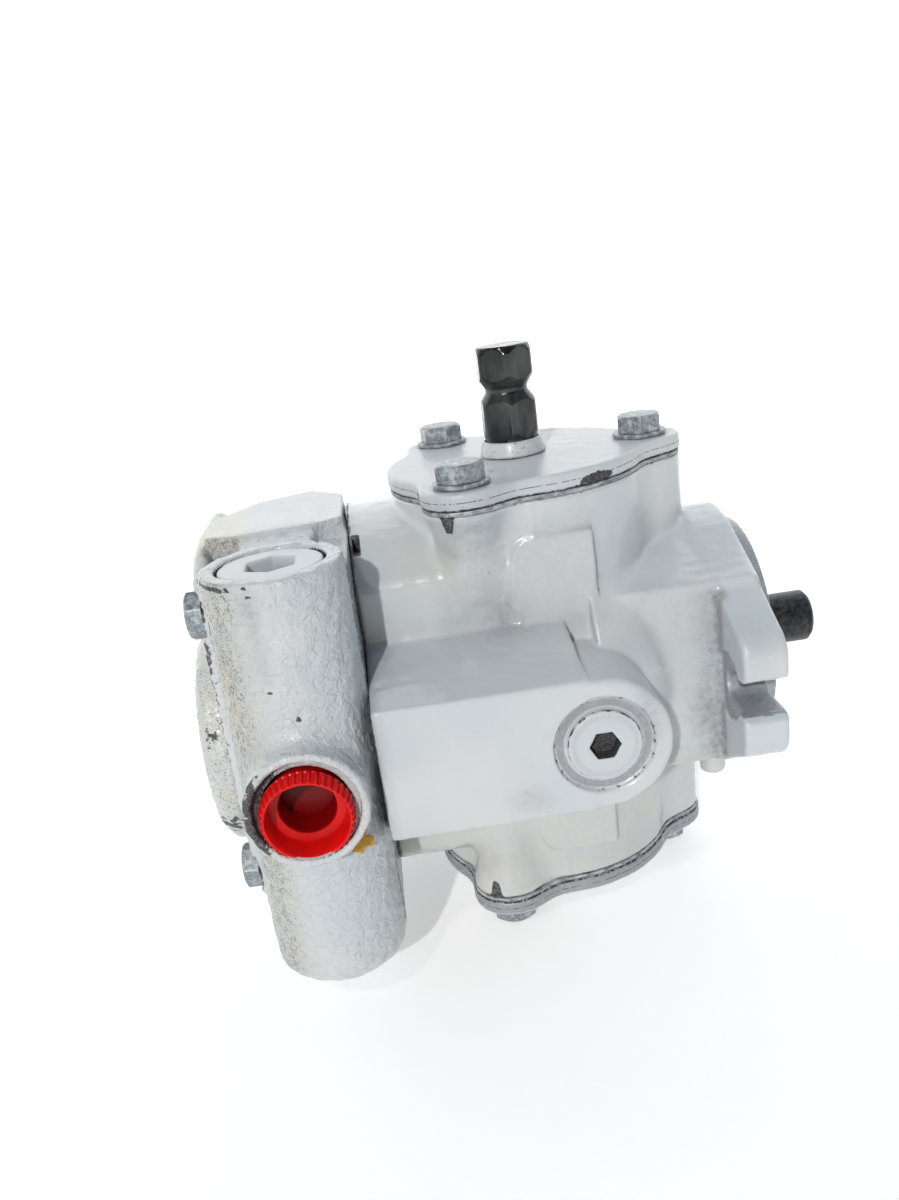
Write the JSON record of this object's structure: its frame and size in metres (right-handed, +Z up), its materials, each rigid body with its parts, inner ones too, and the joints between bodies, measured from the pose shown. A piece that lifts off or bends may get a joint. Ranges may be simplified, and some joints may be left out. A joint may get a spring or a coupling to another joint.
{
  "type": "axial piston pump",
  "caption": "Closed-circuit axial piston pump with a two-bolt flange, a hexagonal control shaft, twin valve cylinders and capped side ports.",
  "frame": {"origin": "centre of the mounting face, on the input shaft's axis", "axes": "+X out along the input shaft, +Z up along the control shaft, -Y towards the drain plug and the front port"},
  "size_m": [0.2269, 0.1994, 0.1982],
  "materials": {
    "paint": "gloss paint over casting",
    "zinc": "zinc plated with paint overspray",
    "steel": "ground",
    "dark_steel": "black oxide",
    "bronze": "lapped",
    "iron": "machined",
    "rubber": "matt",
    "gasket": "fibre",
    "red_plastic": "moulded"
  },
  "bodies": {
    "casing": {"housing": "paint", "end_cap": "paint", "upper_trunnion_cover": "paint", "lower_trunnion_cover": "paint", "control_shaft_boot": "paint", "charge_pump_cover": "paint", "front_valve_plug": "paint", "rear_valve_plug": "paint", "drain_plug": "paint", "upper_cover_shim": "zinc", "lower_cover_shim": "zinc", "cover_bolt_1": "zinc", "cover_bolt_2": "zinc", "cover_bolt_3": "zinc", "cover_bolt_4": "zinc", "cover_bolt_5": "zinc", "cover_bolt_6": "zinc", "cover_washer_1": "zinc", "cover_washer_2": "zinc", "cover_washer_3": "zinc", "cover_washer_4": "zinc", "cover_washer_5": "zinc", "cover_washer_6": "zinc", "end_cap_bolt_1": "zinc", "end_cap_bolt_2": "zinc", "end_cap_bolt_3": "zinc", "end_cap_bolt_4": "zinc", "valve_plate": "bronze", "upper_trunnion_bearing": "iron", "lower_trunnion_bearing": "iron", "front_bearing": "iron", "rear_bearing": "iron", "input_shaft_seal": "rubber", "end_cap_gasket": "gasket"},
    "rotating_group": {"input_shaft": "dark_steel", "cylinder_block": "steel", "block_spring": "steel", "retainer_guide": "steel", "charge_inner_rotor": "steel"},
    "outer_rotor": {"charge_outer_rotor": "iron"},
    "swash": {"swashplate": "iron", "control_shaft": "steel"},
    "retainer": {"slipper_retainer": "steel"},
    "front_cap": {"front_port_cap": "red_plastic"},
    "rear_cap": {"rear_port_cap": "red_plastic"},
    "piston_body_1": {"piston_1": "steel"},
    "slipper_body_1": {"slipper_1": "bronze"},
    "piston_body_2": {"piston_2": "steel"},
    "slipper_body_2": {"slipper_2": "bronze"},
    "piston_body_3": {"piston_3": "steel"},
    "slipper_body_3": {"slipper_3": "bronze"},
    "piston_body_4": {"piston_4": "steel"},
    "slipper_body_4": {"slipper_4": "bronze"},
    "piston_body_5": {"piston_5": "steel"},
    "slipper_body_5": {"slipper_5": "bronze"},
    "piston_body_6": {"piston_6": "steel"},
    "slipper_body_6": {"slipper_6": "bronze"},
    "piston_body_7": {"piston_7": "steel"},
    "slipper_body_7": {"slipper_7": "bronze"}
  },
  "joints": [
    {"name": "shaft_spin", "type": "hinge", "parent": "casing", "child": "rotating_group", "pos_m": [0, 0, 0], "axis": [1, 0, 0], "range_deg": [-360, 360]},
    {"name": "outer_rotor_spin", "type": "hinge", "parent": "casing", "child": "outer_rotor", "pos_m": [-0.0713, -0.0016, 0], "axis": [1, 0, 0], "range_deg": [-310, 310]},
    {"name": "swash_tilt", "type": "hinge", "parent": "casing", "child": "swash", "pos_m": [-0.0713, 0, 0], "axis": [0, 0, 1], "range_deg": [-15, 15]},
    {"name": "retainer_tilt", "type": "hinge", "parent": "rotating_group", "child": "retainer", "pos_m": [-0.0713, 0, 0], "axis": [0, 0, 1], "range_deg": [-15, 15]},
    {"name": "piston_stroke_1", "type": "slide", "parent": "rotating_group", "child": "piston_body_1", "axis": [1, 0, 0], "range_m": [-0.007, 0.007]},
    {"name": "slipper_tilt_1", "type": "hinge", "parent": "piston_body_1", "child": "slipper_body_1", "pos_m": [-0.0713, 0.026, 0], "axis": [0, 0, 1], "range_deg": [-15, 15]},
    {"name": "piston_stroke_2", "type": "slide", "parent": "rotating_group", "child": "piston_body_2", "axis": [1, 0, 0], "range_m": [-0.007, 0.007]},
    {"name": "slipper_tilt_2", "type": "hinge", "parent": "piston_body_2", "child": "slipper_body_2", "pos_m": [-0.0713, 0.01621, 0.02033], "axis": [0, 0, 1], "range_deg": [-15, 15]},
    {"name": "piston_stroke_3", "type": "slide", "parent": "rotating_group", "child": "piston_body_3", "axis": [1, 0, 0], "range_m": [-0.007, 0.007]},
    {"name": "slipper_tilt_3", "type": "hinge", "parent": "piston_body_3", "child": "slipper_body_3", "pos_m": [-0.0713, -0.00579, 0.02535], "axis": [0, 0, 1], "range_deg": [-15, 15]},
    {"name": "piston_stroke_4", "type": "slide", "parent": "rotating_group", "child": "piston_body_4", "axis": [1, 0, 0], "range_m": [-0.007, 0.007]},
    {"name": "slipper_tilt_4", "type": "hinge", "parent": "piston_body_4", "child": "slipper_body_4", "pos_m": [-0.0713, -0.02343, 0.01128], "axis": [0, 0, 1], "range_deg": [-15, 15]},
    {"name": "piston_stroke_5", "type": "slide", "parent": "rotating_group", "child": "piston_body_5", "axis": [1, 0, 0], "range_m": [-0.007, 0.007]},
    {"name": "slipper_tilt_5", "type": "hinge", "parent": "piston_body_5", "child": "slipper_body_5", "pos_m": [-0.0713, -0.02343, -0.01128], "axis": [0, 0, 1], "range_deg": [-15, 15]},
    {"name": "piston_stroke_6", "type": "slide", "parent": "rotating_group", "child": "piston_body_6", "axis": [1, 0, 0], "range_m": [-0.007, 0.007]},
    {"name": "slipper_tilt_6", "type": "hinge", "parent": "piston_body_6", "child": "slipper_body_6", "pos_m": [-0.0713, -0.00579, -0.02535], "axis": [0, 0, 1], "range_deg": [-15, 15]},
    {"name": "piston_stroke_7", "type": "slide", "parent": "rotating_group", "child": "piston_body_7", "axis": [1, 0, 0], "range_m": [-0.007, 0.007]},
    {"name": "slipper_tilt_7", "type": "hinge", "parent": "piston_body_7", "child": "slipper_body_7", "pos_m": [-0.0713, 0.01621, -0.02033], "axis": [0, 0, 1], "range_deg": [-15, 15]},
    {"name": "front_cap_pull", "type": "slide", "parent": "casing", "child": "front_cap", "axis": [0, -1, 0], "range_m": [0, 0.02]},
    {"name": "rear_cap_pull", "type": "slide", "parent": "casing", "child": "rear_cap", "axis": [0, 1, 0], "range_m": [0, 0.02]}
  ],
  "couplings": [
    {"joint": "outer_rotor_spin", "follows": "shaft_spin", "ratio": 0.85714},
    {"joint": "retainer_tilt", "follows": "swash_tilt", "ratio": 1},
    {"joint": "piston_stroke_1", "follows": "swash_tilt", "m_per_rad": -0.026611},
    {"joint": "slipper_tilt_1", "follows": "swash_tilt", "ratio": 1},
    {"joint": "piston_stroke_2", "follows": "swash_tilt", "m_per_rad": -0.016592},
    {"joint": "slipper_tilt_2", "follows": "swash_tilt", "ratio": 1},
    {"joint": "piston_stroke_3", "follows": "swash_tilt", "m_per_rad": 0.0059214},
    {"joint": "slipper_tilt_3", "follows": "swash_tilt", "ratio": 1},
    {"joint": "piston_stroke_4", "follows": "swash_tilt", "m_per_rad": 0.023975},
    {"joint": "slipper_tilt_4", "follows": "swash_tilt", "ratio": 1},
    {"joint": "piston_stroke_5", "follows": "swash_tilt", "m_per_rad": 0.023975},
    {"joint": "slipper_tilt_5", "follows": "swash_tilt", "ratio": 1},
    {"joint": "piston_stroke_6", "follows": "swash_tilt", "m_per_rad": 0.0059214},
    {"joint": "slipper_tilt_6", "follows": "swash_tilt", "ratio": 1},
    {"joint": "piston_stroke_7", "follows": "swash_tilt", "m_per_rad": -0.016592},
    {"joint": "slipper_tilt_7", "follows": "swash_tilt", "ratio": 1}
  ]
}
